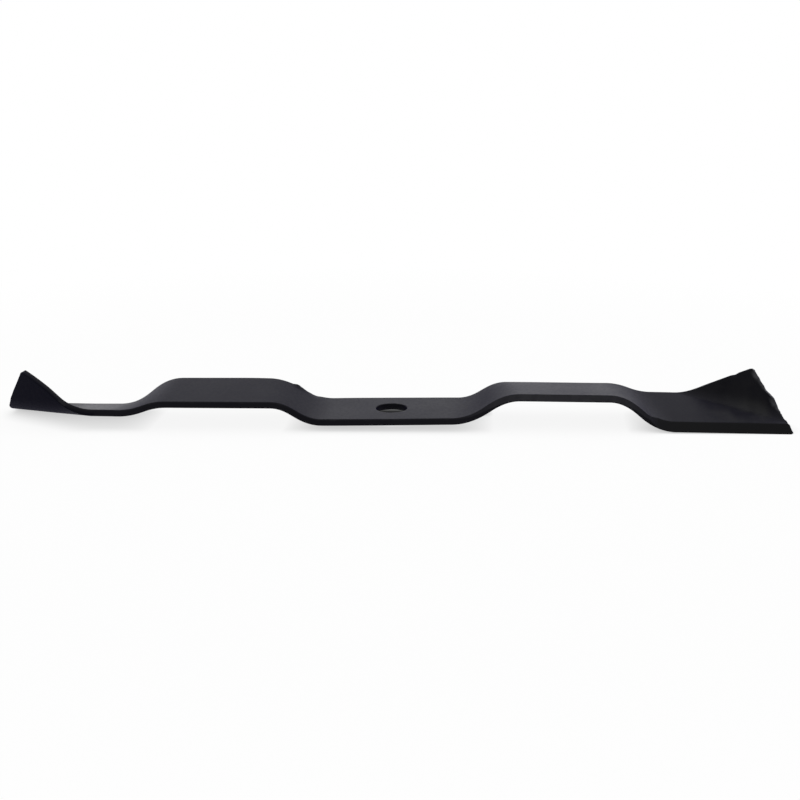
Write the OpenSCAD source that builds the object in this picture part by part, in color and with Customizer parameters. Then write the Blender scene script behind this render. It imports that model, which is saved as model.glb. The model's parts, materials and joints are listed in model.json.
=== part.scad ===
// Rotary mower blade: one flat steel bar, bored in the middle for its spindle.
// From the centre each arm climbs to a raised shoulder, drops to a cutting plate with
// a ground leading edge, and ends in a sail folded up across its trailing corner.
// The two arms are alike under a half turn about the bore.
// The origin is the centre of the bore, on the upper face of the centre pad.
// On the +X arm the leading edge is at -Y, and s runs outwards and v across from it.

/* [Bar] */
// Length from tip to tip
blade_length = 635; // [620:1:660]
// Width of the bar
blade_width = 63.5; // [58:0.5:70]
// Thickness of the bar
thickness = 5.2; // [4:0.1:6.5]
// Width of the broken upper edges
edge_break = 0.8; // [0.3:0.1:1.5]

/* [Spindle bore] */
// Diameter of the spindle bore
bore_d = 25.4; // [12:0.1:32]

/* [Leading edge] */
// Half length of the flat centre pad
lead_pad = 60.5; // [56:0.5:66]
// Run of the slope from pad to shoulder
lead_rise_run = 28.7; // [26:0.1:34]
// Height of the shoulder over the pad
lead_rise = 18.9; // [12:0.1:22]
// Length of the shoulder
lead_shoulder = 96.2; // [90:0.1:102]
// Run of the slope from shoulder to cutting plate
lead_fall_run = 28.4; // [26:0.1:34]
// Height of the cutting plate over the pad
lead_plate = -5.3; // [-8:0.1:-2]
// Set-back of the edge along the shoulder
shoulder_relief = 5; // [0:0.5:8]
// Slant of the edge along the shoulder, across its thickness
shoulder_slant = 3; // [0:0.5:5]
// Half length of each bend
lead_ease = 12.5; // [8:0.5:13]

/* [Trailing edge] */
// Half length of the flat centre pad
trail_pad = 63.9; // [58:0.1:68]
// Run of the slope from pad to shoulder
trail_rise_run = 22.7; // [19:0.1:28]
// Height of the shoulder over the pad
trail_rise = 13.7; // [8:0.1:18]
// Length of the shoulder
trail_shoulder = 100.4; // [95:0.1:104]
// Run of the slope from shoulder to cutting plate
trail_fall_run = 20.7; // [18:0.1:26]
// Height of the cutting plate over the pad
trail_plate = 6.4; // [2:0.1:10]
// Half length of each bend
trail_ease = 8.5; // [5:0.5:9]

/* [Cutting edge] */
// Distance from the centre to the start of the ground bevel
bevel_start = 203; // [192:1:214]
// Width of the ground bevel
bevel_run = 8.5; // [5:0.5:12]
// Length over which the bevel runs out
bevel_runout = 9; // [4:1:16]
// Thickness left at the cutting edge
edge_land = 0.6; // [0.3:0.1:1.5]

/* [Sail] */
// Distance from the tip back to the fold, along the trailing edge
sail_run = 82.8; // [70:0.1:88]
// Distance from the cutting edge to the fold, along the tip
fold_margin = 6.9; // [4:0.1:14]
// Angle of the folded sail to the cutting plate
sail_angle = 70; // [40:1:85]
// Inside radius of the fold
fold_radius = 12.4; // [6:0.1:20]
// Set-back of the trailing corner behind the cutting corner
tip_rake = 13.9; // [0:0.1:20]
// Outward bow of the sail's free edge
sail_bow = 0.9; // [0:0.1:3]
// Radius of the tip's corner on the sail
sail_corner = 2; // [0.5:0.5:6]
// Radius of the tip's corner on the cutting edge
cut_corner = 1; // [0.5:0.5:4]

/* [Wear] */
// Depth of the broken-out stretch of the +X tip
chip_depth = 0.5; // [0:0.1:3]
// Distance from the cutting edge to the broken-out stretch
chip_from = 39.4; // [26:0.1:50]
// Length of the step into the broken-out stretch
chip_step = 3.8; // [2:0.1:8]

/* [Hidden] */
half = blade_length / 2;
beyond = blade_length;
probe = 0.01;
bow_peak = 6.75;
bore_facets = 96;
paint = [0.09, 0.09, 0.1];

// Stations of the bends along each edge, and the height of each edge at them
lead_s2 = lead_pad + lead_rise_run;
lead_s3 = lead_s2 + lead_shoulder;
lead_s4 = lead_s3 + lead_fall_run;
trail_s2 = trail_pad + trail_rise_run;
trail_s3 = trail_s2 + trail_shoulder;
trail_s4 = trail_s3 + trail_fall_run;
lead_line = [
    [0, 0], [lead_pad, 0], [lead_s2, lead_rise],
    [lead_s3, lead_rise], [lead_s4, lead_plate], [beyond, lead_plate]
];
trail_line = [
    [0, 0], [trail_pad, 0], [trail_s2, trail_rise],
    [trail_s3, trail_rise], [trail_s4, trail_plate], [beyond, trail_plate]
];
shoulder_line = [
    [0, 0], [lead_pad, 0], [lead_s2, 1],
    [lead_s3, 1], [lead_s4, 0], [beyond, 0]
];

// Fold line, as a start point and a unit vector square to it, on the flat cutting plate
sail_s = half - sail_run;
fold_length = norm([sail_run, blade_width - fold_margin]);
fold_across = [(blade_width - fold_margin) / fold_length, sail_run / fold_length];
plate_tilt = asin((trail_plate - lead_plate) / blade_width);
plate_normal = [0, -sin(plate_tilt), cos(plate_tilt)];
fold_pull = [fold_across[0], fold_across[1] * cos(plate_tilt), fold_across[1] * sin(plate_tilt)];

// Sections along an arm are close together in the bends and the sail only
inner_from = min(lead_pad - lead_ease, trail_pad - trail_ease);
inner_to = max(lead_s2 + lead_ease, trail_s2 + trail_ease);
outer_from = min(lead_s3 - lead_ease, trail_s3 - trail_ease);
outer_to = max(lead_s4 + lead_ease, trail_s4 + trail_ease);
stations = concat(
    spaced(inner_from, inner_to, 18),
    spaced(outer_from, outer_to, 19),
    spaced(outer_to, half, 28),
    [half]
);
inner_rows = 9;
row_margin = 0.05;
rows = concat([0, 0.015], spaced(row_margin, 1 - row_margin, inner_rows), [1 - row_margin, 0.985, 1]);
last_row = len(rows) - 1;
ring_size = 2 * len(rows) + 2;

function clamp01(x) = min(1, max(0, x));
function mix(a, b, share) = a + (b - a) * share;
function smooth(x) = pow(clamp01(x), 2) * (3 - 2 * clamp01(x));
function unit(v) = v / norm(v);
function spaced(from, to, count) = [for (i = [0 : count - 1]) mix(from, to, i / count)];
function slope(a, b) = (b[1] - a[1]) / (b[0] - a[0]);

// Height along an edge: straight runs, with each corner eased into a parabola
function eased(s, line, ease) =
    let (near = [for (i = [1 : len(line) - 2]) if (abs(s - line[i][0]) < ease) i])
    len(near) == 0 ? lookup(s, line) : bend(s, line, near[0], ease);

function bend(s, line, i, ease) =
    let (
        d = s - line[i][0],
        before = slope(line[i - 1], line[i]),
        after = slope(line[i], line[i + 1])
    )
    line[i][1] + before * d + (after - before) * pow(d + ease, 2) / (4 * ease);

// Share of the shoulder's form that the leading edge has at a station
function shoulder_share(s) = eased(s, shoulder_line, lead_ease);

// Point of the upper face before the sail is folded
function formed(s, v) =
    let (
        share = v / blade_width,
        low = eased(s, lead_line, lead_ease),
        high = eased(s, trail_line, trail_ease),
        level_width = sqrt(pow(blade_width, 2) - pow(high - low, 2)),
        set_back = shoulder_relief * shoulder_share(s) * (1 - share)
    )
    [s, share * level_width - blade_width / 2 + set_back, mix(low, high, share)];

// Move that the fold gives to a point: round the bend, then straight up the sail
function fold_move(s, v) =
    let (
        d = max(0, (s - sail_s) * fold_across[0] + (v - blade_width) * fold_across[1]),
        turn = min(sail_angle, d / fold_radius * 180 / PI),
        straight = d - fold_radius * turn * PI / 180,
        along = fold_radius * sin(turn) + straight * cos(turn),
        up = fold_radius * (1 - cos(turn)) + straight * sin(turn)
    )
    (along - d) * fold_pull + up * plate_normal;

function upper_face(s, v) = formed(s, v) + fold_move(s, v);

function face_normal(s, v) = unit(cross(
    upper_face(s + probe, v) - upper_face(s - probe, v),
    upper_face(s, v + probe) - upper_face(s, v - probe)
));

// How far the tip is cut back: its rake, its rounded corners and the worn stretch
function tip_cut(v, worn) =
    let (
        rake = tip_rake * max(0, v - cut_corner) / (blade_width - cut_corner),
        rounding = round_off(v, cut_corner) + round_off(blade_width - v, sail_corner),
        chip = worn ? chip_depth * smooth((v - chip_from) / chip_step) : 0
    )
    rake + rounding + chip;

// How far a corner of radius r falls short, at a distance in from the edge
function round_off(inset, r) =
    inset < r ? r - sqrt(pow(r, 2) - pow(r - inset, 2)) : 0;

// Place across the bar with the sail's free edge bowed out, most of all towards the tip
function bowed(u, v) =
    let (out = clamp01((u - sail_s) / sail_run))
    v + sail_bow * bow_peak * pow(out, 2) * (1 - out) * v / blade_width;

// Point of the bar at a depth below its upper face, with the sections fanned to the tip
function bar_point(u, v, depth, worn) =
    let (
        fan = clamp01((u - outer_to) / (half - outer_to)),
        s = u - tip_cut(v, worn) * fan,
        across = bowed(u, v)
    )
    upper_face(s, across) - depth * face_normal(s, across);

// Section across an arm: upper face, trailing edge, under face and leading edge
function section(u, worn) =
    let (
        ground = clamp01((u - bevel_start) / bevel_runout),
        slanted = shoulder_share(u),
        first = mix(edge_break, bevel_run, ground) + shoulder_slant * slanted,
        front = mix(edge_break, thickness - edge_land, max(ground, slanted)),
        last = blade_width - edge_break
    )
    concat(
        [for (r = rows) bar_point(u, mix(first, last, r), 0, worn)],
        [bar_point(u, blade_width, edge_break, worn)],
        [for (i = [last_row : -1 : 0]) bar_point(u, blade_width * rows[i], thickness, worn)],
        [bar_point(u, 0, front, worn)]
    );

// The same section on the other arm, listed in the same turning order
function half_turned(ring) =
    let (turned = [for (p = ring) [-p[0], -p[1], p[2]]])
    concat(
        [for (i = [last_row : -1 : 0]) turned[i]],
        [turned[ring_size - 1]],
        [for (i = [ring_size - 2 : -1 : last_row + 2]) turned[i]],
        [turned[last_row + 1]]
    );

// Triangles between one section and the next
function skin(ring_count) = [
    for (r = [0 : ring_count - 2])
        for (i = [0 : ring_size - 1])
            let (
                a = r * ring_size + i,
                b = r * ring_size + (i + 1) % ring_size
            )
            each [[a, b, b + ring_size], [a, b + ring_size, a + ring_size]]
];

// Triangles over an end section, from its upper to its under face
function end_cap(base) =
    let (
        under = base + ring_size - 2,
        strips = [
            for (i = [0 : last_row - 1])
                each [
                    [base + i, under - i, under - i - 1],
                    [base + i, under - i - 1, base + i + 1]
                ]
        ]
    )
    concat(
        strips,
        [[base, base + ring_size - 1, under]],
        [[base + last_row, base + last_row + 2, base + last_row + 1]]
    );

function reversed(faces) = [for (f = faces) [f[2], f[1], f[0]]];

module bar() {
    arm = [for (u = stations) section(u, true)];
    far_arm = [for (u = stations) half_turned(section(u, false))];
    count = len(stations);
    rings = concat([for (i = [count - 1 : -1 : 0]) far_arm[i]], arm);
    polyhedron(
        points = [for (ring = rings) each ring],
        faces = concat(
            skin(len(rings)),
            end_cap(0),
            reversed(end_cap((len(rings) - 1) * ring_size))
        ),
        convexity = 6
    );
}

module blade() {
    color(paint)
        difference() {
            bar();
            translate([0, 0, -2 * thickness])
                cylinder(h = 4 * thickness, d = bore_d, $fn = bore_facets);
        }
}

blade();
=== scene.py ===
"""Rotary mower blade: a flat bored bar that Geometry Nodes press to shape, in satin black paint."""

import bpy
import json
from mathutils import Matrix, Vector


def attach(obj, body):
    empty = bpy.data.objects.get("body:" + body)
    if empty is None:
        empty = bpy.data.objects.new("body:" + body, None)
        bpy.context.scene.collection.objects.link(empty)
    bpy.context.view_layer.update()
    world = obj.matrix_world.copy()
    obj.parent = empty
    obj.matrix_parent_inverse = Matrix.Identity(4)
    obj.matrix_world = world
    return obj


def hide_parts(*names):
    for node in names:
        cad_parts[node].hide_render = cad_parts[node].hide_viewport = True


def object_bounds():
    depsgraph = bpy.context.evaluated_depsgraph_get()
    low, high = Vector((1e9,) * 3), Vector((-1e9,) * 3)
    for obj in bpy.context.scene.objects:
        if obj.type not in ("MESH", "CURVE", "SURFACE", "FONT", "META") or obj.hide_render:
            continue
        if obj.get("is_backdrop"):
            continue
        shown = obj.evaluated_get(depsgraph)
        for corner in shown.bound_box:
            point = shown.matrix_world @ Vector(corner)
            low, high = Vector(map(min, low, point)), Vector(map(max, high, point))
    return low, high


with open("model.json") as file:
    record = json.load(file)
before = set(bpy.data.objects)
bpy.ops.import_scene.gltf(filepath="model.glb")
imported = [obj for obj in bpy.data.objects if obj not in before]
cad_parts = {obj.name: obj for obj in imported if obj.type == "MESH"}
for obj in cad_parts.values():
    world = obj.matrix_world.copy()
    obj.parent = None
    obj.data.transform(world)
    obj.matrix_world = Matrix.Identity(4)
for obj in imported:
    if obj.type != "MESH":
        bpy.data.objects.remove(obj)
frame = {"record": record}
CAD_BOX = [list(corner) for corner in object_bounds()]

import json
import math
from itertools import accumulate

import bmesh
import bpy
import numpy as np
from bpy.props import FloatProperty, FloatVectorProperty, PointerProperty
from mathutils import Euler

bl_info = {
    "name": "Rotary Mower Blade",
    "version": (1, 0, 0),
    "blender": (4, 5, 0),
    "location": "View3D > Sidebar > Mower Blade",
    "description": "Presses a flat bored bar into a mower blade and sets it on a pale stage",
    "category": "Object",
}

MM = 0.001
MOUNTS = {mount["name"]: mount for mount in frame["record"]["mounts"]}

# Half the width of the square window round the bore, its steps, and rows in millimetres from the edges
BORE_WINDOW = 22 * MM
WINDOW_STEPS = 32
MARGIN_ROWS = (1.7, 2.2, 3.0, 4.2, 5.6, 7.0, 8.4)
# Steps between sections along an arm, and how far from the end the tip's own steps begin
BEND_STEP = 1.5 * MM
PLAIN_STEP = 5 * MM
TIP_STEP = 0.6 * MM
TIP_ZONE = 7 * MM
# Rounding of each tip, its steps, and the share of the thickness that it takes at most from each side
TIP_ROUNDS = {1: 0.4 * MM, -1: 1.1 * MM}
TIP_ROUND_STEPS = 4
TIP_ROUND_LIMIT = 0.42
# Rounding of the bore's lips, its steps, and where loops lie between the window and the lip
BORE_LIP = 0.7 * MM
BORE_LIP_STEPS = 4
BORE_PATCH_SHARES = (0.3, 0.6, 0.82, 0.94, 1.0)
# Roundings of the bar's corners, as set-backs from the sharp corner
TOP_CORNER_POINTS = 5
FOOT_CORNER_POINTS = 4
TOP_SETBACK = 0.4 * MM
FOOT_SETBACK = 0.35 * MM
GROUND_SETBACK = 0.6 * MM
LAND_SETBACK = 0.22 * MM
# Rows on a sloped upper edge, how near its ends they lie if it is plain or ground, and rows on sides
SLOPE_ROWS = 2
SLOPE_ROW_SHARE = (0.33, 0.07)
SIDE_ROW_SHARES = (0.12, 0.88)
# How far points count as arris: on corners, on slopes and sides, in rows beside them, in the bore
TOP_ARRIS = 1.0
FOOT_ARRIS = 0.8
SLOPE_ARRIS = 0.4
SIDE_ARRIS = 0.15
MARGIN_ARRIS = (0.6, 0.25)
WALL_ARRIS = 0.2
# How far to each side of a point the press looks, to find how its upper face lies there
PROBE = 0.2 * MM

# Wear: shares of a tip's width from its cutting edge, and how many millimetres it is broken back there
TIP_BREAKS = {
    1: (
        (0.0, -0.6), (0.04, -1.6), (0.15, -1.0), (0.19, -0.45), (0.34, -0.2), (0.37, -0.5), (0.41, 0.25),
        (0.46, -0.4), (0.51, -0.5), (0.54, -1.0), (0.57, -1.0), (0.66, 0.7), (0.74, 0.45), (0.86, 0.15),
        (0.92, -0.15), (1.0, 0.05),
    ),
    -1: (
        (0.0, 0.0), (0.12, -0.8), (0.2, -1.6), (0.27, -1.6), (0.33, -0.7), (0.4, 0.2), (0.5, 0.5),
        (0.62, 0.15), (0.8, 0.1), (0.92, -0.05), (1.0, -0.15),
    ),
}
# Ripples of the +X tip: waves over its width, depth in millimetres, phase, and where they set in
BREAK_RIPPLES = ((9, 0.16, 0.4), (17, 0.11, 2.1), (29, 0.07, 4.4))
RIPPLE_RUN = 5 * MM
# Facets broken off its upper arris: place and half length in widths, reach and depth in millimetres
TIP_FACETS = (
    (0.89, 0.09, 3.6, 2.3),
    (0.78, 0.13, 2.0, 1.8),
    (0.5, 0.09, 3.8, 2.4),
    (0.41, 0.1, 2.0, 1.8),
    (0.28, 0.08, 1.2, 1.2),
    (0.15, 0.05, 1.2, 1.2),
)
# The share of the thickness that they take at most, and the depth at which steel is wholly bare
FACET_DEEPEST = 0.62
BARE_DEPTH = 1.2 * MM
# How bare the slanted shoulder edges are, and how many points at each end of a section lie on them
SLANT_BARE = 0.32
SLANT_POINTS = 4
# Corners of each tip as worn, in millimetres: radius on the cutting edge and on the sail
WORN_CORNERS = {1: (2.0, 1.2), -1: (0.6, 1.7)}
# Bow of each sail's free edge beside the bow that both have in millimetres, and what brings its top to 1
SAIL_BENDS = {1: -0.7, -1: 0.4}
BOW_PEAK = 27 / 4
# Where grass has scoured the upper side: along the arm, across it, and its share on the sail
SCOUR_FROM = 250 * MM
SCOUR_RUN = 22 * MM
SCOUR_END = 307 * MM
SCOUR_TAIL = 10 * MM
SCOUR_TO = 46 * MM
SCOUR_FADE = 18 * MM
SCOUR_EDGE = 2 * MM
SCOUR_SAIL = 0.3
# Where the paint has lost its gloss, along the arm
DULL_FROM = 246 * MM
DULL_RUN = 18 * MM
# Unevenness of the formed bar in millimetres: places and lifts along its -Y edge and its +Y edge
BAR_LIFTS = (
    (
        (-320, 0.1), (-250, 0.2), (-220, -0.2), (-170, -0.4), (-50, -0.5), (0, 0.1), (50, 1.0), (65, 1.0),
        (80, 0.2), (110, 0.2), (180, -0.5), (205, -0.2), (220, 0.7), (270, 0.0), (320, -0.7),
    ),
    (
        (-320, 0.5), (-295, 0.5), (-250, -0.4), (-205, 0.0), (-115, 0.5), (-65, -0.6), (-30, 0.1),
        (45, 0.8), (110, 0.9), (175, 0.4), (225, 0.6), (255, -0.1), (320, -0.6),
    ),
)
# How far either way the corners of these courses are eased, and in how many steps
LIFT_SPREAD = 8
LIFT_STEPS = 9
# Roughness that the paint has gained on drawn slopes, where grass runs, and underneath
DRAWN_DULLNESS = 0.16
WORN_DULLNESS = 0.08
UNDER_DULLNESS = 0.2
# Share of the gloss that the underside lacks
UNDER_FLATNESS = 0.14
# Depth shares between which paint turns to the painted shade of the underside, and on the free edges of
# sails
FOOT_UNDER = (0.9, 0.99)
EDGE_UNDER = (0.3, 0.6)
EDGE_FACE = 0.1 * MM
# Nicks of the edges: arm, leading or not, then place, half length, set-back, reach and depth in mm
# A depth below 0 makes a burr
EDGE_NICKS = (
    (-1, False, 262.0, 18.0, 1.0, 30.0, 0.0),
    (-1, True, 79.2, 3.4, 0.0, 9.0, -1.1),
    (-1, True, 76.5, 6.8, 0.0, 9.0, -1.2),
    (-1, True, 63.8, 6.0, 0.0, 9.0, 0.68),
    (1, False, 289.0, 4.0, 0.5, 3.0, 1.0),
)

# Noises of the paint: scale, detail and roughness
CLOUDS = (22, 3, 0.55)
GRAIN = (420, 4, 0.6)
PEEL = (950, 2, 0.5)
SCRATCHES = (130, 6, 0.7)
STREAKS = (60, 2, 0.5)
# Ranges of the paint: lowest and highest value, and the amounts that these two give
CLOUDED = (0.35, 0.68, 0, 1)
SCUFFED = (0.52, 0.72, 0, 0.7)
SCUFFED_ARRIS = (0.5, 1.0, 0, 1)
STREAKED = (0.36, 0.64, 0.3, 1.1)
BARED = (0.3, 0.6, 0.45, 1)
SATIN = (0.3, 0.7, 0.3, 0.38)
CLOUDED_SATIN = (0.3, 0.7, -0.03, 0.04)
# Bumps of the paint: strength and distance
PEEL_BUMP = (0.12, 0.00012)
CLOUD_BUMP = (0.2, 0.0006)

# The floor's reach, how white it is near its middle, and how far out it turns wholly white
FLOOR_REACH = 4.0
FLOOR_WHITE_SHARE = 0.9
FAR_FLOOR = (0.4, 0.8)
# Painted shade on the floor, from ambient occlusion in its white glow: how far it reaches, how deep it is
# and which way it looks for light
SHADE_REACH = 0.016
SHADE_DEPTH = 0.32
SHADE_FROM = (0.0, -0.57, 0.82)
SHADE_SAMPLES = 16
# Deeper painted shade under the rear of the pad: where the rear begins, then half lengths and added depth
REAR = (0.014, 0.022)
PAD_SHADES = ((0.05, 0.16, 1.7), (0.008, 0.035, 2.6))
LAMP_HEIGHT = 1.3
LAMP_SIZE = 1.8
CAMERA_CLIP = 0.01

# Inputs of the press, each with the name of the size that it takes
EDGE_RUNS = ("Pad", "Rise Run", "Shoulder", "Fall Run")
EDGE_LABELS = (*EDGE_RUNS, "Ease")
PRESS_SIZES = (
    "Bar Width", "Shoulder Relief", "Half Length", "Sail Run", "Fold Margin", "Fold Radius", "Sail Angle",
    *(f"{edge} {label}" for edge in ("Lead", "Trail") for label in (*EDGE_LABELS, "Rise", "Plate")),
)
# Inputs and outputs of node groups that aren't plain numbers
SOCKET_KINDS = {"Geometry": "NodeSocketGeometry", "Place": "NodeSocketVector"}


def length(name, description, millimetres):
    """A size in metres that the sidebar shows as a length."""
    return FloatProperty(
        name=name, description=description, default=millimetres * MM, unit="LENGTH", precision=5
    )


def swatch(name, description, rgb):
    """A colour that the sidebar shows as a swatch."""
    return FloatVectorProperty(
        name=name, description=description, default=rgb, size=3, min=0, max=1, subtype="COLOR"
    )


def fraction(name, description, share):
    """A share that the sidebar shows as a slider from 0 to 1."""
    return FloatProperty(
        name=name, description=description, default=share, min=0, max=1, subtype="FACTOR"
    )


class BladeSizes(bpy.types.PropertyGroup):
    """Sizes of the bar and of the press that forms it."""

    half_length: length("Half Length", "From the bore's axis to a tip", CAD_BOX[1][0] / MM)
    bar_width: length("Bar Width", "Width of the flat bar", 63.5)
    thickness: length(
        "Thickness",
        "Thickness of the flat bar",
        (MOUNTS["pad_top"]["pos_m"][2] - MOUNTS["pad_underside"]["pos_m"][2]) / MM,
    )
    bore_radius: length(
        "Bore Radius", "Radius of the spindle bore", MOUNTS["spindle_bore"]["dims"]["r_mm"]
    )
    edge_break: length("Edge Break", "Width of the broken upper edges", 0.8)
    lead_pad: length("Leading Pad", "Half length of the pad on the leading edge", 60.5)
    lead_rise_run: length("Leading Rise Run", "Run of the slope up to the shoulder", 28.7)
    lead_rise: length("Leading Rise", "Height of the shoulder over the pad", 18.9)
    lead_shoulder: length("Leading Shoulder", "Length of the shoulder", 96.2)
    lead_fall_run: length("Leading Fall Run", "Run of the slope down to the cutting plate", 28.4)
    lead_plate: length("Leading Plate", "Height of the cutting plate over the pad", -5.3)
    lead_ease: length("Leading Ease", "Half length of each bend", 12.5)
    shoulder_relief: length("Shoulder Relief", "Set-back of the leading edge along the shoulder", 5)
    shoulder_slant: length("Shoulder Slant", "Slant of the leading edge along the shoulder", 3)
    trail_pad: length("Trailing Pad", "Half length of the pad on the trailing edge", 63.9)
    trail_rise_run: length("Trailing Rise Run", "Run of the slope up to the shoulder", 22.7)
    trail_rise: length("Trailing Rise", "Height of the shoulder over the pad", 13.7)
    trail_shoulder: length("Trailing Shoulder", "Length of the shoulder", 100.4)
    trail_fall_run: length("Trailing Fall Run", "Run of the slope down to the cutting plate", 20.7)
    trail_plate: length("Trailing Plate", "Height of the cutting plate over the pad", 6.4)
    trail_ease: length("Trailing Ease", "Half length of each bend", 8.5)
    bevel_start: length("Bevel Start", "From the bore's axis to the ground bevel", 203)
    bevel_run: length("Bevel Run", "Width of the ground bevel", 8.5)
    bevel_runout: length("Bevel Runout", "Length over which the bevel runs out", 9)
    edge_land: length("Edge Land", "Thickness left at the cutting edge", 0.6)
    sail_run: length("Sail Run", "From the tip back to the fold, along the trailing edge", 82.8)
    fold_margin: length("Fold Margin", "From the cutting edge to the fold, along the tip", 6.9)
    fold_radius: length("Fold Radius", "Inside radius of the fold", 12.4)
    sail_angle: FloatProperty(
        name="Sail Angle",
        description="Angle of the folded sail to the cutting plate",
        default=math.radians(70),
        subtype="ANGLE",
    )
    tip_rake: length("Tip Rake", "Set-back of the trailing corner behind the cutting corner", 13.9)
    sail_bow: length("Sail Bow", "Outward bow of the sail's free edge", 0.9)


class PaintLook(bpy.types.PropertyGroup):
    """Colours and gloss of the blade's black paint, with painted light in them: a bluish sheen and a blue
    cast that paint the tint of reflected light, darker paint that paints shade underneath, and arris
    scuffs that are partly painted highlight.
    """

    # The blue cast of these colours is partly the paint's own and partly a painted bluish tint of
    # reflected light
    paint_colour: swatch("Paint", "Colour of the black paint", (0.0042, 0.0041, 0.0056))
    faded_colour: swatch(
        "Faded Paint", "Colour of the paint where it has clouded", (0.0062, 0.0061, 0.0078)
    )
    # Painted shade: the underside and the lower part of the sails' free edges are darkened to this colour
    underside_shade_colour: swatch("Underside Shade", "Colour of the paint under the bar", (0.001, 0.001, 0.0028))
    scour_colour: swatch(
        "Scoured Paint", "Colour of the paint that grass has scoured", (0.0195, 0.0195, 0.0195)
    )
    ground_colour: swatch(
        "Ground Paint", "Colour of the paint on the ground bevels", (0.0028, 0.0029, 0.0024)
    )
    # Partly painted highlight: these scuffs along the arrises also paint the light lines that rounded
    # arrises catch
    scuff_and_highlight_colour: swatch("Scuff", "Colour of scuffed edges", (0.012, 0.012, 0.013))
    steel_colour: swatch("Steel", "Colour of the broken steel of the worn tip", (0.045, 0.045, 0.048))
    gloss: fraction("Gloss", "Specular level of the paint", 0.04)
    # The bluish sheen is a painted reflection: it puts the bluish tint of reflected light on the paint,
    # most at shallow angles
    reflection_sheen: fraction("Reflection Sheen", "Weight of the bluish bloom on the paint", 0.03)
    reflection_sheen_colour: swatch("Bloom Colour", "Colour of the bloom on the paint", (0.25, 0.2, 1.0))


class StageLook(bpy.types.PropertyGroup):
    """Floor, light and camera."""

    floor_colour: swatch("Floor", "Colour of the floor", (0.86, 0.86, 0.86))
    sky_light: FloatProperty(
        name="Sky Light", description="Strength of the light from all round", default=0.7, min=0,
    )
    lamp_power: FloatProperty(
        name="Lamp Power", description="Power of the overhead lamp", default=9, min=0, unit="POWER",
    )
    focal_length: FloatProperty(
        name="Focal Length", description="Camera lens", default=52.08, min=1, subtype="DISTANCE_CAMERA",
    )
    camera_place: FloatVectorProperty(
        name="Camera Place", description="Where the camera stands",
        default=(0.010056, -0.906246, 0.261881), size=3, subtype="TRANSLATION",
    )
    camera_turn: FloatVectorProperty(
        name="Camera Turn", description="How the camera is turned",
        default=tuple(math.radians(a) for a in (74.2905, -0.2418, 0.2730)), size=3, subtype="EULER",
    )


# Flat bar


def mix(a, b, share):
    """What lies at a share of the way from one value to another."""
    return a + (b - a) * share


def clamp(x, low=0.0, high=1.0):
    """Values held between two limits."""
    return np.minimum(np.maximum(x, low), high)


def hump(x):
    """A smooth bump, 1 at 0 and 0 beyond 1 either way."""
    return np.cos(clamp(np.abs(x)) * math.pi / 2) ** 2


def rounded(before, corner, after, setback, count):
    """Points round a corner, tangent to its two sides."""
    corner = np.array(corner)
    start = corner + setback * (before - corner) / np.linalg.norm(before - corner)
    end = corner + setback * (after - corner) / np.linalg.norm(after - corner)
    t = np.linspace(0, 1, count)[:, None]
    return (1 - t) ** 2 * start + 2 * t * (1 - t) * corner + t**2 * end


def between(start, end, shares):
    """Points at shares of the way from one point to another."""
    return start + np.outer(shares, end - start)


def quarter_turn(count):
    """Angles that lead through a quarter turn in equal steps."""
    return [step / count * math.pi / 2 for step in range(1, count + 1)]


def bar_rows(sizes):
    """Places of the rows across the bar, from its leading edge."""
    window = np.linspace(-BORE_WINDOW, BORE_WINDOW, WINDOW_STEPS + 1) + sizes.bar_width / 2
    margin = np.array(MARGIN_ROWS) * MM
    return np.concatenate([margin, window, sizes.bar_width - margin[::-1]])


def ground_share(sizes, station):
    """How far the bevel is ground at a station, from 0 to 1."""
    return float(clamp((station - sizes.bevel_start) / sizes.bevel_runout))


def past_bend(distance, ease):
    """0 before a bend and the distance past it after, eased into a parabola between."""
    bent = clamp(distance + ease, 0.0, 2 * ease)
    return bent**2 / (4 * ease) + max(distance - ease, 0.0)


def lead_bends(sizes):
    """Stations of the four bends of the leading edge."""
    runs = (sizes.lead_pad, sizes.lead_rise_run, sizes.lead_shoulder, sizes.lead_fall_run)
    return list(accumulate(runs))


def shoulder_share(sizes, station):
    """Share of the shoulder's form that the leading edge has at a station."""
    ramps = [past_bend(station - bend, sizes.lead_ease) for bend in lead_bends(sizes)]
    up = (ramps[0] - ramps[1]) / sizes.lead_rise_run
    down = (ramps[2] - ramps[3]) / sizes.lead_fall_run
    return float(up - down)


def drawn_share(sizes, station):
    """How far the bar slopes at a station, from 0 on its flats to 1 on its slopes."""
    step = PLAIN_STEP
    rise = shoulder_share(sizes, station + step) - shoulder_share(sizes, station - step)
    return float(clamp(abs(rise) * sizes.lead_rise_run / (2 * step)))


def front_slope(sizes, station):
    """Run and drop of the slope along the leading edge, and its share of a full slope."""
    ground = ground_share(sizes, station)
    slanted = shoulder_share(sizes, station)
    sloped = max(ground, slanted)
    run = mix(sizes.edge_break, sizes.bevel_run, ground) + sizes.shoulder_slant * slanted
    drop = mix(sizes.edge_break, sizes.thickness - sizes.edge_land, sloped)
    return run, drop, sloped


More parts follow.
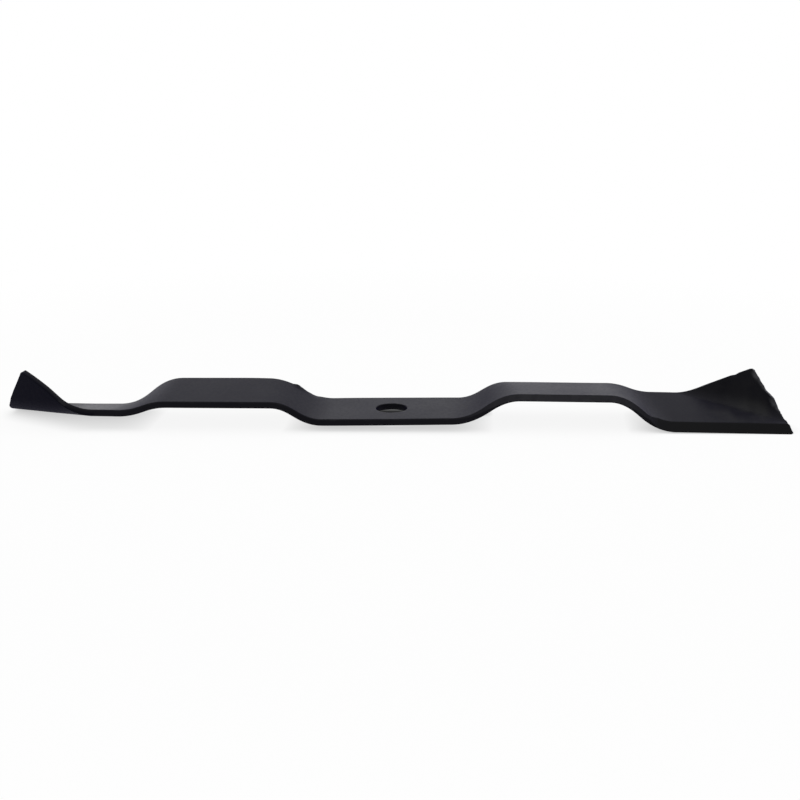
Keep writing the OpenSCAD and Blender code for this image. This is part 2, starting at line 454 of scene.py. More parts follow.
def section(sizes, rows, station):
    """Top, back, foot and front chains of the bar's section, as points (across, depth)."""
    ground = ground_share(sizes, station)
    run, drop, sloped = front_slope(sizes, station)
    width, thick, broken = sizes.bar_width, sizes.thickness, sizes.edge_break
    front_top = np.array([run, 0.0])
    front_low = np.array([0.0, drop])
    front_foot = np.array([0.0, thick])
    back_foot = np.array([width, thick])
    back_low = np.array([width, broken])
    back_top = np.array([width - broken, 0.0])
    top_soft = mix(TOP_SETBACK, GROUND_SETBACK, ground)
    land_soft = mix(TOP_SETBACK, LAND_SETBACK, sloped)
    foot_soft = mix(FOOT_SETBACK, LAND_SETBACK, sloped)

    lead_top = rounded(front_low, front_top, back_top, top_soft, TOP_CORNER_POINTS)
    lead_low = rounded(front_foot, front_low, front_top, land_soft, TOP_CORNER_POINTS)
    lead_foot = rounded(back_foot, front_foot, front_low, foot_soft, FOOT_CORNER_POINTS)
    trail_top = rounded(front_top, back_top, back_low, TOP_SETBACK, TOP_CORNER_POINTS)
    trail_low = rounded(back_top, back_low, back_foot, TOP_SETBACK, TOP_CORNER_POINTS)
    trail_foot = rounded(back_low, back_foot, front_foot, FOOT_SETBACK, FOOT_CORNER_POINTS)

    plain = sizes.edge_break + TOP_SETBACK
    last = width - plain
    first = lead_top[-1][0]
    across = first + (rows - plain) * (last - first) / (last - plain)
    plain_inset, ground_inset = SLOPE_ROW_SHARE
    inset = mix(plain_inset, ground_inset, sloped)
    top = np.concatenate([
        between(lead_low[-1], lead_top[0], (inset, 1 - inset)),
        lead_top,
        np.column_stack([across, np.zeros_like(across)]),
        trail_top,
        between(trail_top[-1], trail_low[0], (plain_inset, 1 - plain_inset)),
    ])
    trail_side = between(trail_low[-1], trail_foot[0], SIDE_ROW_SHARES)
    lead_side = between(lead_foot[-1], lead_low[0], SIDE_ROW_SHARES)
    back = np.concatenate([trail_low, trail_side, trail_foot])
    foot = np.column_stack([rows[::-1], np.full_like(rows, thick)])
    front = np.concatenate([lead_foot, lead_side, lead_low])
    return top, back, foot, front


def upper_depth(sizes, station, across):
    """Depth of the upper side, which drops along its sloped and broken edges."""
    run, drop, _ = front_slope(sizes, station)
    front = drop * clamp(1 - across / run)
    back = sizes.edge_break * clamp(1 - (sizes.bar_width - across) / sizes.edge_break)
    return front + back


def fallen_short(inset, radius):
    """How far a rounded corner falls short, at a distance in from the edge."""
    gap = clamp(radius - inset, 0, radius)
    return radius - np.sqrt(radius**2 - gap**2)


def tip_cut(sizes, across, arm):
    """How far a tip is cut back: its rake, its corners, its breaks and, on the +X tip, its ripples."""
    width = sizes.bar_width
    cut_corner, sail_corner = (radius * MM for radius in WORN_CORNERS[arm])
    cut = sizes.tip_rake * np.maximum(0, across - cut_corner) / (width - cut_corner)
    cut = cut + fallen_short(across, cut_corner) + fallen_short(width - across, sail_corner)
    share = across / width
    cut = cut + np.interp(share, *zip(*TIP_BREAKS[arm])) * MM
    if arm > 0:
        for waves, depth, phase in BREAK_RIPPLES:
            ripple = depth * MM * np.sin(waves * 2 * math.pi * share + phase)
            cut = cut + ripple * clamp(across / RIPPLE_RUN)
    return cut


def lifted(sizes, points):
    """Lift of the uneven bar at points of it, with the corners of each edge's course eased."""
    along, across, _ = np.array(points).T
    shifts = np.linspace(-LIFT_SPREAD, LIFT_SPREAD, LIFT_STEPS)
    eased = []
    for edge in BAR_LIFTS:
        places, lifts = zip(*edge)
        courses = [np.interp(along / MM + shift, places, lifts) for shift in shifts]
        eased.append(np.mean(courses, axis=0))
    return mix(*eased, clamp(across / sizes.bar_width + 0.5)) * MM


def on_bar(sizes, point):
    """Station, place across and share of the depth of a point of the flat bar."""
    across = math.copysign(1, point[0]) * point[1] + sizes.bar_width / 2
    return abs(point[0]), across, -point[2] / sizes.thickness


def scoured(sizes, point):
    """How far grass has scoured the upper side of the plate and the sail, from 0 to 1."""
    station, across, _ = on_bar(sizes, point)
    along = clamp((station - SCOUR_FROM) / SCOUR_RUN) * clamp((SCOUR_END - station) / SCOUR_TAIL)
    over = SCOUR_SAIL + (1 - SCOUR_SAIL) * clamp((SCOUR_TO - across) / SCOUR_FADE)
    ground = clamp((across - sizes.bevel_run) / SCOUR_EDGE)
    return float(along * over * ground)


def underside_painted_shade(sizes, point):
    """Where paint is darkened as painted shade: 1 on the underside and on the lower part of a sail's free
    edge, 0 elsewhere.
    """
    station, across, down = on_bar(sizes, point)
    edge = across > sizes.bar_width - EDGE_FACE and station > sizes.half_length - sizes.sail_run
    start, end = EDGE_UNDER if edge else FOOT_UNDER
    return float(clamp((down - start) / (end - start)))


def ground_mark(sizes, point):
    """1 on the ground bevel, 0 elsewhere."""
    station, across, _ = on_bar(sizes, point)
    inside = clamp((sizes.bevel_run + TOP_SETBACK - across) / TOP_SETBACK)
    return ground_share(sizes, station) * float(inside)


def dulled(sizes, point):
    """Roughness gained where the bar was drawn into slopes, where grass runs and underneath."""
    station = abs(point[0])
    worn = float(clamp((station - DULL_FROM) / DULL_RUN))
    gained = DRAWN_DULLNESS * drawn_share(sizes, station) + WORN_DULLNESS * worn
    return gained + UNDER_DULLNESS * underside_painted_shade(sizes, point)


POINT_AMOUNTS = (("dull", dulled), ("scour", scoured), ("under", underside_painted_shade), ("ground", ground_mark))


def bowed(sizes, station, across, arm):
    """Places across the bar with the sail's free edge bowed out, most of all towards the tip."""
    out = clamp((station - sizes.half_length + sizes.sail_run) / sizes.sail_run)
    bow = sizes.sail_bow + SAIL_BENDS[arm] * MM
    return across * (1 + bow * BOW_PEAK * out**2 * (1 - out) / sizes.bar_width)


def stations(sizes, arm):
    """Places of the sections along an arm, outwards from the bore, and where they start to fan out."""
    first, second, third, fourth = lead_bends(sizes)
    marks = (
        (BORE_WINDOW, BORE_WINDOW * 2 / WINDOW_STEPS),
        (first - sizes.lead_ease, PLAIN_STEP),
        (second + sizes.lead_ease, BEND_STEP),
        (third - sizes.lead_ease, PLAIN_STEP),
        (sizes.half_length - TIP_ZONE, BEND_STEP),
        (sizes.half_length - TIP_ROUNDS[arm], TIP_STEP),
    )
    places = [0.0]
    for mark, step in marks:
        count = max(1, round((mark - places[-1]) / step))
        places.extend(np.linspace(places[-1], mark, count + 1)[1:])
    return places, fourth + sizes.lead_ease


def nicked(sizes, arm, along, across, depth, upper):
    """Places across and depths of points, moved where an edge of the bar is nicked."""
    for side, leading, place, half, setback, reach, dent in EDGE_NICKS:
        if side != arm:
            continue
        inset = across if leading else sizes.bar_width - across
        near = hump((along - place * MM) / (half * MM)) * clamp(1 - inset / (reach * MM))
        inwards = 1 if leading else -1
        across = across + inwards * setback * MM * near
        depth = depth + dent * MM * near * clamp(1 - (depth - upper) / sizes.thickness)
    return across, depth


def placed(sizes, chains, station, fan_from, arm, tip_turn):
    """A section's points as stations, places across and depths, and how bare its steel is."""
    worn = arm > 0
    flat = np.concatenate(chains)
    across, depth = flat[:, 0], flat[:, 1]
    upper = upper_depth(sizes, station, across)
    room = sizes.thickness - upper
    fan = float(clamp((station - fan_from) / (sizes.half_length - fan_from)))
    along = station - tip_cut(sizes, across, arm) * fan
    from_tip = sizes.half_length - station
    bare = np.zeros_like(across)
    slanted = SLANT_BARE * shoulder_share(sizes, station)
    bare[:SLANT_POINTS] = slanted
    bare[-SLANT_POINTS:] = slanted
    if worn and from_tip < TIP_ZONE:
        facet = np.zeros_like(across)
        for place, half, reach, drop in TIP_FACETS:
            near = hump((across / sizes.bar_width - place) / half)
            facet = np.maximum(facet, drop * MM * near * clamp(1 - from_tip / (reach * MM)))
        on_top = clamp(1 - (depth - upper) / room)
        depth = depth + np.minimum(facet, FACET_DEEPEST * room) * on_top
        bare = clamp(facet / BARE_DEPTH) * on_top
    if tip_turn > 0:
        inset = np.minimum(TIP_ROUNDS[arm] * (1 - math.cos(tip_turn)), TIP_ROUND_LIMIT * room)
        depth = np.minimum(np.maximum(depth, upper + inset), sizes.thickness - inset)
        across = clamp(across, inset, sizes.bar_width - inset)
        if worn:
            bare = np.maximum(bare, math.sin(tip_turn))
    across, depth = nicked(sizes, arm, along, across, depth, upper)
    return np.column_stack([along, bowed(sizes, station, across, arm), depth]), bare


def half_turned(parts):
    """The chains of a section on the other arm, in the order that they have on this one."""
    top, back, foot, front = parts
    return top[::-1], front[::-1], foot[::-1], back[::-1]


def split_like(points, chains):
    """Values of a section's points, parted as its chains are."""
    cuts = np.cumsum([len(chain) for chain in chains])[:-1]
    return np.split(points, cuts)


def edge_marks(rows):
    """How close each point of a section is to an arris, from 0 to 1."""
    plain = np.zeros(len(rows))
    beside = len(MARGIN_ARRIS)
    plain[:beside] = MARGIN_ARRIS
    plain[-beside:] = MARGIN_ARRIS[::-1]
    corner = np.full(TOP_CORNER_POINTS, TOP_ARRIS)
    slope = np.full(SLOPE_ROWS, SLOPE_ARRIS)
    wall = np.full(len(SIDE_ROW_SHARES), SIDE_ARRIS)
    side = np.concatenate([corner, wall, np.full(FOOT_CORNER_POINTS, FOOT_ARRIS)])
    top = np.concatenate([slope, corner, plain, corner, slope])
    return np.concatenate([top, side, plain, side[::-1]])


def arm_sections(sizes, rows, arm):
    """Points of an arm's sections, outwards from the bore, and how bare the steel is at them."""
    places, fan_from = stations(sizes, arm)
    steps = [(place, 0.0) for place in places]
    for turn in quarter_turn(TIP_ROUND_STEPS):
        steps.append((sizes.half_length - TIP_ROUNDS[arm] * (1 - math.sin(turn)), turn))
    rings = []
    bare = []
    for station, turn in steps:
        chains = section(sizes, rows, station)
        points, steel = placed(sizes, chains, station, fan_from, arm, turn)
        points[:, 1] -= sizes.bar_width / 2
        points[:, 2] *= -1
        if arm < 0:
            points[:, :2] *= -1
            points = np.concatenate(half_turned(split_like(points, chains)))
            steel = np.concatenate(half_turned(split_like(steel, chains)))
        rings.append(points)
        bare.append(steel)
    return rings, bare


def flat_bar(sizes):
    """Points, faces, arris marks and bare steel of the bar before it is pressed."""
    rows = bar_rows(sizes)
    left_rings, left_bare = arm_sections(sizes, rows, -1)
    right_rings, right_bare = arm_sections(sizes, rows, 1)
    rings = left_rings[:0:-1] + right_rings
    bare = left_bare[:0:-1] + right_bare
    middle = len(left_rings) - 1
    ring_size = len(rings[0])
    top, back, _, _ = section(sizes, rows, 0.0)
    foot_from = len(top) + len(back)
    points = [p for ring in rings for p in ring]
    marks = list(np.tile(edge_marks(rows), len(rings)))

    reach = WINDOW_STEPS // 2
    ring_low, ring_high = middle - reach, middle + reach
    row_low = len(MARGIN_ROWS)
    row_high = row_low + WINDOW_STEPS
    row_from = SLOPE_ROWS + TOP_CORNER_POINTS
    row_count = len(rows)
    foot_last = foot_from + row_count - 1
    open_top = range(row_from + row_low, row_from + row_high)
    open_foot = range(foot_last - row_high, foot_last - row_low)
    faces = []
    for ring in range(len(rings) - 1):
        in_window = ring_low <= ring < ring_high
        for i in range(ring_size):
            if in_window and (i in open_top or i in open_foot):
                continue
            a = ring * ring_size + i
            b = ring * ring_size + (i + 1) % ring_size
            faces.append((a, a + ring_size, b + ring_size, b))

    faces.extend(tip_cap((len(rings) - 1) * ring_size, ring_size, row_from, row_count, foot_from))
    left_cap = tip_cap(0, ring_size, row_from, row_count, foot_from)
    faces.extend(face[::-1] for face in left_cap)

    sides = (
        [(ring_high, row) for row in range(row_low, row_high)],
        [(ring, row_high) for ring in range(ring_high, ring_low, -1)],
        [(ring_low, row) for row in range(row_high, row_low, -1)],
        [(ring, row_low) for ring in range(ring_low, ring_high)],
    )
    square = [place for side in sides for place in side]
    top_square = [ring * ring_size + row_from + row for ring, row in square]
    foot_square = [ring * ring_size + foot_last - row for ring, row in square]
    bore_rings(sizes, points, faces, marks, top_square, foot_square)
    steel = np.zeros(len(points))
    steel[: len(rings) * ring_size] = np.concatenate(bare)
    return points, faces, marks, steel


def tip_cap(base, ring_size, row_from, row_count, foot_from):
    """Faces over an end as they lie on the +X arm: strips from upper to under rows, and two ends."""
    faces = []
    for row in range(row_count - 1):
        upper = base + row_from + row
        under = base + foot_from + row_count - 1 - row
        faces.append((upper, under, under - 1, upper + 1))
    front = [*range(foot_from + row_count - 1, ring_size), *range(row_from + 1)]
    back = range(row_from + row_count - 1, foot_from + 1)
    faces.append(tuple(base + i for i in reversed(front)))
    faces.append(tuple(base + i for i in reversed(back)))
    return faces


def bore_rings(sizes, points, faces, marks, top_square, foot_square):
    """Fills the window round the bore, down its wall and out again underneath."""
    count = len(top_square)
    angles = -math.pi / 4 + np.arange(count) * 2 * math.pi / count
    circle = np.column_stack([np.cos(angles), np.sin(angles)])
    lip = BORE_LIP
    outline = []
    for turn in quarter_turn(BORE_LIP_STEPS):
        outline.append((sizes.bore_radius + lip * (1 - math.sin(turn)), lip * (1 - math.cos(turn))))
    wall = [(radius, sizes.thickness - depth) for radius, depth in reversed(outline)]

    def added(flat, depth, mark):
        start = len(points)
        points.extend(np.column_stack([flat, np.full(count, -depth)]))
        marks.extend([mark] * count)
        return list(range(start, start + count))

    corners = np.array([points[i][:2] for i in top_square])
    lip_circle = circle * (sizes.bore_radius + lip)

    def patch(share, depth):
        return added(mix(corners, lip_circle, share), depth, TOP_ARRIS if share == 1 else 0.0)

    loops = [top_square]
    for share in BORE_PATCH_SHARES:
        loops.append(patch(share, 0.0))
    for radius, depth in outline:
        loops.append(added(circle * radius, depth, TOP_ARRIS))
    loops.append(added(circle * sizes.bore_radius, sizes.thickness / 2, WALL_ARRIS))
    for radius, depth in wall:
        loops.append(added(circle * radius, depth, TOP_ARRIS))
    for share in reversed(BORE_PATCH_SHARES):
        loops.append(patch(share, sizes.thickness))
    loops.append(foot_square)
    for outer, inner in zip(loops, loops[1:]):
        for i in range(count):
            k = (i + 1) % count
            faces.append((inner[i], outer[i], outer[k], inner[k]))


# Press


class Term:
    """A value in a node tree. Numbers are worked on with ordinary arithmetic."""

    def __init__(self, tree, socket):
        self.tree = tree
        self.socket = socket

    def __add__(self, other):
        return worked(self.tree, "ADD", self, other)

    def __sub__(self, other):
        return worked(self.tree, "SUBTRACT", self, other)

    def __rsub__(self, other):
        return worked(self.tree, "SUBTRACT", other, self)

    def __mul__(self, other):
        return worked(self.tree, "MULTIPLY", self, other)

    def __truediv__(self, other):
        return worked(self.tree, "DIVIDE", self, other)


def plug(tree, socket, value):
    """Links a term to a socket, or sets a plain value on it."""
    if isinstance(value, Term):
        tree.links.new(value.socket, socket)
    else:
        socket.default_value = value


def plugged(tree, node, values):
    """The first output of a node, with its inputs plugged in their order."""
    for socket, value in zip(node.inputs, values):
        plug(tree, socket, value)
    return Term(tree, node.outputs[0])


def worked(tree, operation, *values, kind="ShaderNodeMath"):
    """A Math node on the values."""
    node = tree.nodes.new(kind)
    node.operation = operation
    return plugged(tree, node, values)


def vector_worked(tree, operation, *values):
    """A Vector Math node on the values."""
    return worked(tree, operation, *values, kind="ShaderNodeVectorMath")


def joined(tree, x, y, z):
    """A vector of three numbers."""
    return plugged(tree, tree.nodes.new("ShaderNodeCombineXYZ"), (x, y, z))


def parted(tree, vector):
    """The three numbers of a vector."""
    node = tree.nodes.new("ShaderNodeSeparateXYZ")
    plug(tree, node.inputs[0], vector)
    return [Term(tree, socket) for socket in node.outputs]


def new_tree(name, inputs, outputs):
    """A node group, its input terms by name and its output node."""
    tree = bpy.data.node_groups.new(name, "GeometryNodeTree")
    for side, labels in (("INPUT", inputs), ("OUTPUT", outputs)):
        for label in labels:
            kind = SOCKET_KINDS.get(label, "NodeSocketFloat")
            tree.interface.new_socket(name=label, in_out=side, socket_type=kind)
    entry = tree.nodes.new("NodeGroupInput")
    leave = tree.nodes.new("NodeGroupOutput")
    terms = {label: Term(tree, entry.outputs[label]) for label in inputs}
    return tree, terms, leave


def group_node(tree, group, values):
    """A node that runs a group, with its inputs plugged by name."""
    node = tree.nodes.new("GeometryNodeGroup")
    node.node_tree = group
    for label, value in values.items():
        plug(tree, node.inputs[label], value)
    return node


def soft_ramp(tree, distance, ease):
    """0 before a bend and the distance past it after, eased into a parabola between."""
    bent = worked(tree, "MINIMUM", worked(tree, "MAXIMUM", distance + ease, 0.0), ease * 2.0)
    return bent * bent / (ease * 4.0) + worked(tree, "MAXIMUM", distance - ease, 0.0)


def edge_steps_group():
    """How far an edge has gone up to its shoulder, and down again, each from 0 to 1."""
    tree, t, leave = new_tree("Edge Steps", ("Station", *EDGE_LABELS), ("Up", "Down"))
    bends = accumulate(t[label] for label in EDGE_RUNS)
    ramps = [soft_ramp(tree, t["Station"] - bend, t["Ease"]) for bend in bends]
    plug(tree, leave.inputs["Up"], (ramps[0] - ramps[1]) / t["Rise Run"])
    plug(tree, leave.inputs["Down"], (ramps[2] - ramps[3]) / t["Fall Run"])
    return tree


def upper_face_group(edge_steps):
    """Where a point of the bar's upper face lies once it is pressed."""
    tree, t, leave = new_tree("Upper Face", ("Station", "Across", *PRESS_SIZES), ("Place",))
    station, across, width = t["Station"], t["Across"], t["Bar Width"]

    steps = {}
    for edge in ("Lead", "Trail"):
        values = {label: t[f"{edge} {label}"] for label in EDGE_LABELS}
        node = group_node(tree, edge_steps, {"Station": station, **values})
        up, down = Term(tree, node.outputs["Up"]), Term(tree, node.outputs["Down"])
        height = t[f"{edge} Rise"] * up + (t[f"{edge} Plate"] - t[f"{edge} Rise"]) * down
        steps[edge] = (up, down, height)
    lead_up, lead_down, low = steps["Lead"]
    high = steps["Trail"][2]
    share = across / width
    climb = high - low
    level = worked(tree, "SQRT", width * width - climb * climb)
    relief = t["Shoulder Relief"] * (lead_up - lead_down) * (1.0 - share)
    y = share * level - width * 0.5 + relief
    z = low + climb * share

    span = width - t["Fold Margin"]
    fold_length = worked(tree, "SQRT", t["Sail Run"] * t["Sail Run"] + span * span)
    out = span / fold_length
    back = t["Sail Run"] / fold_length
    past = (station - (t["Half Length"] - t["Sail Run"])) * out + (across - width) * back
    past = worked(tree, "MAXIMUM", past, 0.0)
    radius = t["Fold Radius"]
    turn = worked(tree, "MINIMUM", past / radius, t["Sail Angle"])
    straight = past - radius * turn
    sine = worked(tree, "SINE", turn)
    cosine = worked(tree, "COSINE", turn)
    drawn = radius * sine + straight * cosine - past
    raised = radius * (1.0 - cosine) + straight * sine
    tilt = worked(tree, "ARCSINE", (t["Trail Plate"] - t["Lead Plate"]) / width)
    tilt_sine = worked(tree, "SINE", tilt)
    tilt_cosine = worked(tree, "COSINE", tilt)
    place = joined(
        tree,
        station + drawn * out,
        y + drawn * back * tilt_cosine - raised * tilt_sine,
        z + drawn * back * tilt_sine + raised * tilt_cosine,
    )
    plug(tree, leave.inputs["Place"], place)
    return tree


def press_tree(paint):
    """The press: moves each point of the flat bar to its place on the formed blade."""
    upper_face = upper_face_group(edge_steps_group())
    tree, t, leave = new_tree("Blade Press", ("Geometry", *PRESS_SIZES), ("Geometry",))
    sizes = {label: t[label] for label in PRESS_SIZES}

    position = Term(tree, tree.nodes.new("GeometryNodeInputPosition").outputs[0])
    x, y, z = parted(tree, position)
    arm = worked(tree, "GREATER_THAN", x, -PROBE / 2) * 2.0 - 1.0
    station = worked(tree, "ABSOLUTE", x)
    across = arm * y + t["Bar Width"] * 0.5

    def face_at(along, over):
        node = group_node(tree, upper_face, {"Station": along, "Across": over, **sizes})
        return Term(tree, node.outputs["Place"])

    outer, inner = face_at(station + PROBE, across), face_at(station - PROBE, across)
    rear, front = face_at(station, across + PROBE), face_at(station, across - PROBE)
    lengthwise = vector_worked(tree, "SUBTRACT", outer, inner)
    crosswise = vector_worked(tree, "SUBTRACT", rear, front)
    upright = vector_worked(tree, "CROSS_PRODUCT", lengthwise, crosswise)
    normal = vector_worked(tree, "NORMALIZE", upright)
    sunk = vector_worked(tree, "MULTIPLY", normal, joined(tree, z, z, z))
    formed = vector_worked(tree, "ADD", face_at(station, across), sunk)
    formed_x, formed_y, formed_z = parted(tree, formed)
    uneven = tree.nodes.new("GeometryNodeInputNamedAttribute")
    uneven.data_type = "FLOAT"
    uneven.inputs["Name"].default_value = "lift"
    lift = Term(tree, uneven.outputs["Attribute"])

    move = tree.nodes.new("GeometryNodeSetPosition")
    smooth = tree.nodes.new("GeometryNodeSetShadeSmooth")
    realize = tree.nodes.new("GeometryNodeRealizeInstances")
    finish = tree.nodes.new("GeometryNodeSetMaterial")
    finish.inputs["Material"].default_value = paint
    plug(tree, move.inputs["Geometry"], t["Geometry"])
    plug(tree, move.inputs["Position"], joined(tree, arm * formed_x, arm * formed_y, formed_z + lift))
    for before, after in ((move, smooth), (smooth, realize), (realize, finish)):
        tree.links.new(before.outputs[0], after.inputs["Geometry"])
    tree.links.new(finish.outputs[0], leave.inputs["Geometry"])
    return tree


def pressed(blank, sizes, paint):
    """Runs the press on the flat bar and leaves a plain mesh."""
    tree = press_tree(paint)
    modifier = blank.modifiers.new("Press", "NODES")
    modifier.node_group = tree
    ids = {item.name: item.identifier for item in tree.interface.items_tree if item.in_out == "INPUT"}
    for label in PRESS_SIZES:
        modifier[ids[label]] = getattr(sizes, label.lower().replace(" ", "_"))
    graph = bpy.context.evaluated_depsgraph_get()
    formed = bpy.data.meshes.new_from_object(
        blank.evaluated_get(graph), preserve_all_data_layers=True, depsgraph=graph
    )
    flat = blank.data
    blank.modifiers.remove(modifier)
    blank.data = formed
    formed.name = blank.name
    bpy.data.meshes.remove(flat)
    return blank


# Paint


def shader_node(tree, kind, **values):
    """A shader node with its options and sockets set by name."""
    node = tree.nodes.new(kind)
    for label, value in values.items():
        key = label.replace("_", " ")
        if key in node.inputs:
            node.inputs[key].default_value = value
        else:
            setattr(node, label, value)
    return node


def mark_at(tree, name):
    """An amount that the mesh carries at its points."""
    return Term(tree, shader_node(tree, "ShaderNodeAttribute", attribute_name=name).outputs["Fac"])


def noise_at(tree, place, scale, detail, roughness):
    """Noise at a place, about 0.5 on average."""
    node = shader_node(tree, "ShaderNodeTexNoise", Scale=scale, Detail=detail, Roughness=roughness)
    plug(tree, node.inputs["Vector"], place)
    return Term(tree, node.outputs["Fac"])


def ranged(tree, value, low, high, at_low, at_high):
    """A value between two limits, turned into an amount between two others."""
    limits = {"From_Min": low, "From_Max": high, "To_Min": at_low, "To_Max": at_high}
    node = shader_node(tree, "ShaderNodeMapRange", **limits)
    plug(tree, node.inputs["Value"], value)
    return Term(tree, node.outputs["Result"])


def mixed_colour(tree, amount, first, second):
    """The first colour, turned into the second by an amount."""
    node = shader_node(tree, "ShaderNodeMix", data_type="RGBA")
    plug(tree, node.inputs[0], amount)
    sockets = [socket for socket in node.inputs if socket.type == "RGBA"]
    for socket, colour in zip(sockets, (first, second)):
        plug(tree, socket, colour if isinstance(colour, Term) else (*colour, 1))
    return Term(tree, next(socket for socket in node.outputs if socket.type == "RGBA"))


def bumped(tree, height, strength, distance):
    """A Bump node on a height."""
    node = shader_node(tree, "ShaderNodeBump", Strength=strength, Distance=distance)
    plug(tree, node.inputs["Height"], height)
    return node


def black_paint(look):
    """Satin black paint: clouded, scuffed on its arrises, scoured near the tips, bare where broken; with
    painted shade underneath, painted highlight in the arris scuffs and a painted bluish reflection in its
    sheen and colour.
    """
    material = bpy.data.materials.new("black_paint")
    material.use_nodes = True
    tree = material.node_tree
    shader = tree.nodes["Principled BSDF"]
    # The sheen paints a bluish reflection onto the paint
    plug(tree, shader.inputs["Sheen Weight"], look.reflection_sheen)
    plug(tree, shader.inputs["Sheen Tint"], (*look.reflection_sheen_colour, 1))
    place = Term(tree, tree.nodes.new("ShaderNodeTexCoord").outputs["Object"])
    noises = (CLOUDS, GRAIN, PEEL, SCRATCHES, STREAKS)
    clouds, grain, peel, scratches, streaks = (noise_at(tree, place, *noise) for noise in noises)
    names = ("arris", "bare", "dull", "scour", "under", "ground")
    arris, bare, dull, scour, under, ground = (mark_at(tree, name) for name in names)

    # The paint's colours carry a painted bluish tint of reflected light
    colour = mixed_colour(tree, ranged(tree, clouds, *CLOUDED), look.paint_colour, look.faded_colour)
    # Scuffs along the arrises: wear, and partly a painted highlight on the rounded arrises
    scuff = ranged(tree, scratches, *SCUFFED) * ranged(tree, arris, *SCUFFED_ARRIS)
    colour = mixed_colour(tree, scuff, colour, look.scuff_and_highlight_colour)
    colour = mixed_colour(tree, scour * ranged(tree, streaks, *STREAKED), colour, look.scour_colour)
    colour = mixed_colour(tree, ground, colour, look.ground_colour)
    # Painted shade: darker paint on the underside and on the lower part of the sails' free edges
    colour = mixed_colour(tree, under, colour, look.underside_shade_colour)
    colour = mixed_colour(tree, bare * ranged(tree, scratches, *BARED), colour, look.steel_colour)
    plug(tree, shader.inputs["Base Color"], colour)

    satin = ranged(tree, grain, *SATIN) + ranged(tree, clouds, *CLOUDED_SATIN) + dull
    plug(tree, shader.inputs["Roughness"], satin)
    glossy = (1.0 - under * UNDER_FLATNESS) * look.gloss
    plug(tree, shader.inputs["Specular IOR Level"], glossy)

    skin = bumped(tree, peel, *PEEL_BUMP)
    waves = bumped(tree, clouds, *CLOUD_BUMP)
    tree.links.new(skin.outputs["Normal"], waves.inputs["Normal"])
    tree.links.new(waves.outputs["Normal"], shader.inputs["Normal"])
    return material


def linked(scene, name, data):
    """A new object in the scene."""
    thing = bpy.data.objects.new(name, data)
    scene.collection.objects.link(thing)
    return thing


class PressMowerBlade(bpy.types.Operator):
    """Make the flat bored bar, press it to shape and paint it."""

    bl_idname = "object.press_mower_blade"
    bl_label = "Press Mower Blade"

    def execute(self, context):
        sizes = context.scene.blade_sizes
        points, faces, marks, steel = flat_bar(sizes)
        mesh = bpy.data.meshes.new("pressed_blade")
        mesh.from_pydata([tuple(p) for p in points], [], faces)
        if mesh.validate():
            raise RuntimeError("the flat bar has faulty faces")
        amounts = {"arris": marks, "bare": steel, "lift": lifted(sizes, points)}
        for name, amount in POINT_AMOUNTS:
            amounts[name] = [amount(sizes, point) for point in points]
        for name, values in amounts.items():
            mesh.attributes.new(name, "FLOAT", "POINT").data.foreach_set("value", values)
        blank = linked(context.scene, "pressed_blade", mesh)
        blade = pressed(blank, sizes, black_paint(context.scene.blade_paint))
        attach(blade, "root")
        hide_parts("blade")
        return {"FINISHED"}


# Stage


def seen_directly(tree):
    """1 for rays that show the background: camera, glossy and transmission rays."""
    path = tree.nodes.new("ShaderNodeLightPath")
    rays = [Term(tree, path.outputs[f"Is {kind} Ray"]) for kind in ("Camera", "Glossy", "Transmission")]
    return worked(tree, "MAXIMUM", worked(tree, "MAXIMUM", rays[0], rays[1]), rays[2])


def pale_floor(look):
    """Pale matt floor that reads as white; the blade's shadow is painted into its white glow by ambient
    occlusion, deeper under the rear of the pad, and its matt share keeps the real shadow.
    """
    material = bpy.data.materials.new("pale_floor")
    material.use_nodes = True
    tree = material.node_tree
    tree.nodes.clear()
    place = Term(tree, tree.nodes.new("ShaderNodeTexCoord").outputs["Object"])
    x, y, _ = parted(tree, place)
    from_middle = worked(tree, "SQRT", x * x + y * y)
    shade = shader_node(
        tree, "ShaderNodeAmbientOcclusion", Distance=SHADE_REACH, samples=SHADE_SAMPLES
    )
    plug(tree, shade.inputs["Normal"], joined(tree, *SHADE_FROM))
    beside = worked(tree, "ABSOLUTE", x)
    along_pad, by_bore = (ranged(tree, beside, *pad_shade, 0) for pad_shade in PAD_SHADES)
    # Painted shade: the glow's strength is ambient occlusion raised to a power, which is higher under the
    # rear of the pad
    depth = (along_pad + by_bore) * ranged(tree, y, *REAR, 0, 1) + SHADE_DEPTH
    painted_shade_glow = worked(tree, "POWER", Term(tree, shade.outputs["AO"]), depth)

    matt = shader_node(tree, "ShaderNodeBsdfDiffuse", Color=(*look.floor_colour, 1))
    glow = shader_node(tree, "ShaderNodeEmission", Color=(1, 1, 1, 1))
    plug(tree, glow.inputs["Strength"], painted_shade_glow)
    blend = tree.nodes.new("ShaderNodeMixShader")
    white = ranged(tree, from_middle, *FAR_FLOOR, FLOOR_WHITE_SHARE, 1)
    plug(tree, blend.inputs["Fac"], seen_directly(tree) * white)
    tree.links.new(matt.outputs[0], blend.inputs[1])
    tree.links.new(glow.outputs[0], blend.inputs[2])
    leave = tree.nodes.new("ShaderNodeOutputMaterial")
    tree.links.new(blend.outputs[0], leave.inputs["Surface"])
    return material


def white_world(look):
    """Even light from all round, and a white background."""
    world = bpy.data.worlds.new("white_world")
    world.use_nodes = True
    tree = world.node_tree
    background = tree.nodes["Background"]
    plug(tree, background.inputs["Color"], (1, 1, 1, 1))
    strength = seen_directly(tree) * (1.0 - look.sky_light) + look.sky_light
    plug(tree, background.inputs["Strength"], strength)
    return world


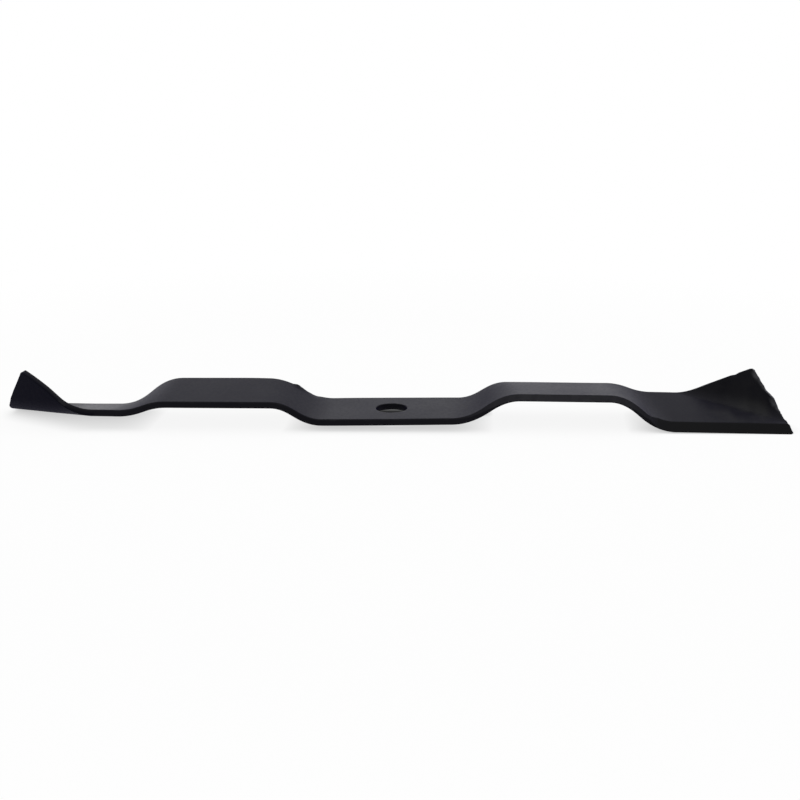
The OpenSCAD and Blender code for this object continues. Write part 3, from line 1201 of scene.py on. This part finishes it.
class SetBladeStage(bpy.types.Operator):
    """Lay the pale floor and set the light and the camera."""

    bl_idname = "scene.set_blade_stage"
    bl_label = "Set Blade Stage"

    def execute(self, context):
        scene = context.scene
        look = scene.blade_stage
        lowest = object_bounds()[0].z

        mesh = bpy.data.meshes.new("floor")
        form = bmesh.new()
        bmesh.ops.create_grid(form, x_segments=1, y_segments=1, size=FLOOR_REACH)
        form.to_mesh(mesh)
        form.free()
        mesh.materials.append(pale_floor(look))
        floor = linked(scene, "floor", mesh)
        floor.location.z = lowest
        floor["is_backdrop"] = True

        scene.world = white_world(look)
        lamp = bpy.data.lights.new("overhead_lamp", "AREA")
        lamp.energy = look.lamp_power
        lamp.size = LAMP_SIZE
        linked(scene, "overhead_lamp", lamp).location.z = LAMP_HEIGHT

        lens = bpy.data.cameras.new("camera")
        lens.lens = look.focal_length
        lens.clip_start = CAMERA_CLIP
        camera = linked(scene, "camera", lens)
        camera.location = look.camera_place
        camera.rotation_euler = Euler(look.camera_turn)
        scene.camera = camera
        scene.view_settings.view_transform = "Standard"
        return {"FINISHED"}


class MowerBladePanel(bpy.types.Panel):
    """The blade and its stage, in the sidebar."""

    bl_idname = "VIEW3D_PT_mower_blade"
    bl_label = "Mower Blade"
    bl_space_type = "VIEW_3D"
    bl_region_type = "UI"
    bl_category = "Mower Blade"

    def draw(self, context):
        layout = self.layout
        for group, operator in (
            (context.scene.blade_sizes, None),
            (context.scene.blade_paint, PressMowerBlade.bl_idname),
            (context.scene.blade_stage, SetBladeStage.bl_idname),
        ):
            box = layout.box()
            for name in group.__annotations__:
                box.prop(group, name)
            if operator:
                box.operator(operator)


GROUPS = (
    ("blade_sizes", BladeSizes),
    ("blade_paint", PaintLook),
    ("blade_stage", StageLook),
)
CLASSES = (*(kind for _, kind in GROUPS), PressMowerBlade, SetBladeStage, MowerBladePanel)


def register():
    for kind in CLASSES:
        bpy.utils.register_class(kind)
    for name, kind in GROUPS:
        setattr(bpy.types.Scene, name, PointerProperty(type=kind))


def unregister():
    for name, _ in GROUPS:
        delattr(bpy.types.Scene, name)
    for kind in reversed(CLASSES):
        bpy.utils.unregister_class(kind)


def main():
    register()
    bpy.ops.object.press_mower_blade()
    bpy.ops.scene.set_blade_stage()


if __name__ == "__main__":
    main()
